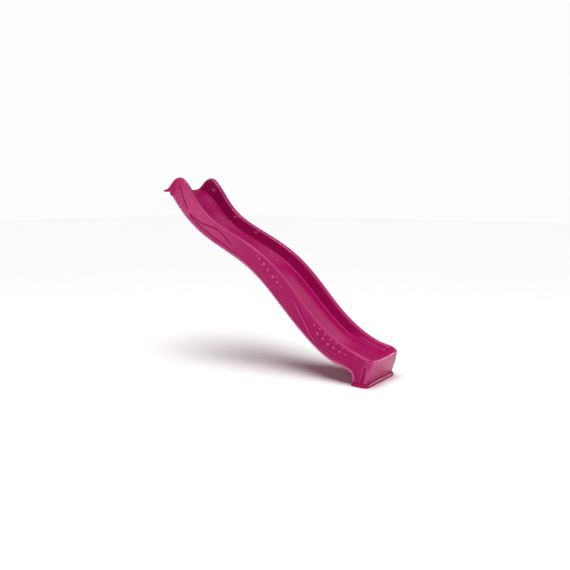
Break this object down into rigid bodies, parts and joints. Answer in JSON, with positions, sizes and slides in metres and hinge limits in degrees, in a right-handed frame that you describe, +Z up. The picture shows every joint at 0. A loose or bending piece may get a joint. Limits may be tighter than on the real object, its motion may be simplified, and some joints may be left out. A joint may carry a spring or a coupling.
{
  "type": "playground slide",
  "caption": "Narrow plastic wave slide with humped side walls, a lip that hooks over a play deck, a moulded foot and water jets near the top.",
  "frame": {"origin": "on the ground, under the middle of the slide's overall length and width", "axes": "+X runs down the slide towards the exit, +Z is up, +Y is across the slide"},
  "size_m": [2.234, 0.494, 1.6317],
  "materials": {
    "moulded_polyethylene": "fine grained, satin",
    "cover_plastic": "satin",
    "zinc_steel": "zinc plated",
    "black_plastic": "satin",
    "seal_rubber": "matt",
    "coupling_plastic": "satin"
  },
  "bodies": {
    "slide": {"slide_body": "moulded_polyethylene", "cover_bases": "cover_plastic", "deck_screws": "zinc_steel", "deck_washers": "zinc_steel", "spray_jets": "black_plastic", "jet_seals": "seal_rubber", "spray_manifold": "black_plastic", "coupling_seal": "seal_rubber", "hose_coupling": "coupling_plastic"},
    "lid_1": {"screw_cover_1": "cover_plastic"},
    "lid_2": {"screw_cover_2": "cover_plastic"},
    "lid_3": {"screw_cover_3": "cover_plastic"},
    "lid_4": {"screw_cover_4": "cover_plastic"}
  },
  "joints": [
    {"name": "lid_1_hinge", "type": "hinge", "parent": "slide", "child": "lid_1", "pos_m": [-1.0695, -0.117, 1.5195], "axis": [0, 1, 0], "range_deg": [0, 105]},
    {"name": "lid_2_hinge", "type": "hinge", "parent": "slide", "child": "lid_2", "pos_m": [-1.0695, -0.039, 1.5195], "axis": [0, 1, 0], "range_deg": [0, 105]},
    {"name": "lid_3_hinge", "type": "hinge", "parent": "slide", "child": "lid_3", "pos_m": [-1.0695, 0.039, 1.5195], "axis": [0, 1, 0], "range_deg": [0, 105]},
    {"name": "lid_4_hinge", "type": "hinge", "parent": "slide", "child": "lid_4", "pos_m": [-1.0695, 0.117, 1.5195], "axis": [0, 1, 0], "range_deg": [0, 105]}
  ]
}
